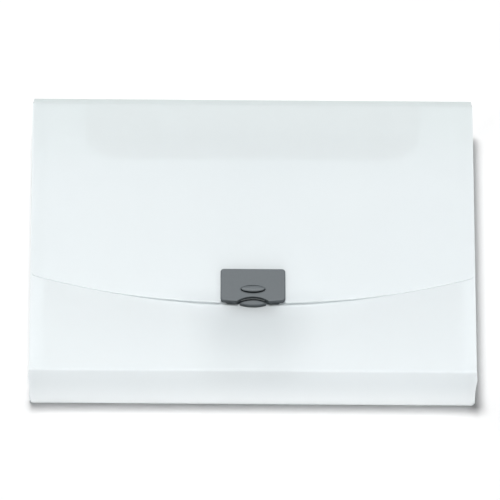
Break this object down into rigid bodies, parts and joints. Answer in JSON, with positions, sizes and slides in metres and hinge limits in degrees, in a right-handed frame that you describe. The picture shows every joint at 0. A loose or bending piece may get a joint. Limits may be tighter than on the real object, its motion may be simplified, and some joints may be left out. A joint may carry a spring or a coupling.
{
  "type": "document case",
  "caption": "Shallow folding document case of frosted translucent plastic sheet, with a full-width curved flap, a finger cut-out and a press-button clasp with a thumb lip.",
  "frame": {"origin": "under the middle of the case's back, on the surface that it lies on", "axes": "+X along the width, +Y from the bottom wall to the hinged top edge, +Z out of the front panel"},
  "size_m": [0.3316, 0.24, 0.0534],
  "materials": {
    "frosted_sheet": "satin",
    "clasp_moulding": "satin",
    "clasp_inside": "matte"
  },
  "bodies": {
    "case": {"back_panel": "frosted_sheet", "bottom_wall": "frosted_sheet", "front_panel": "frosted_sheet", "left_side_wall": "frosted_sheet", "right_side_wall": "frosted_sheet", "left_corner_tab": "frosted_sheet", "right_corner_tab": "frosted_sheet", "catch_base": "clasp_moulding", "catch_tray": "clasp_inside"},
    "button": {"catch_button": "clasp_moulding"},
    "lid": {"lid_panel": "frosted_sheet"},
    "flap": {"flap": "frosted_sheet", "clasp_cover": "clasp_moulding", "clasp_backplate": "clasp_inside"}
  },
  "joints": [
    {"name": "lid_crease", "type": "hinge", "parent": "case", "child": "lid", "pos_m": [0, 0.1192, 0.0008], "axis": [-1, 0, 0], "range_deg": [0, 90]},
    {"name": "flap_crease", "type": "hinge", "parent": "lid", "child": "flap", "pos_m": [0, 0.1192, 0.0473], "axis": [-1, 0, 0], "range_deg": [0, 88]},
    {"name": "button_press", "type": "hinge", "parent": "case", "child": "button", "pos_m": [0, -0.0413, 0.04765], "axis": [1, 0, 0], "range_deg": [0, 5], "stiffness_Nm_per_rad": 0.5}
  ]
}
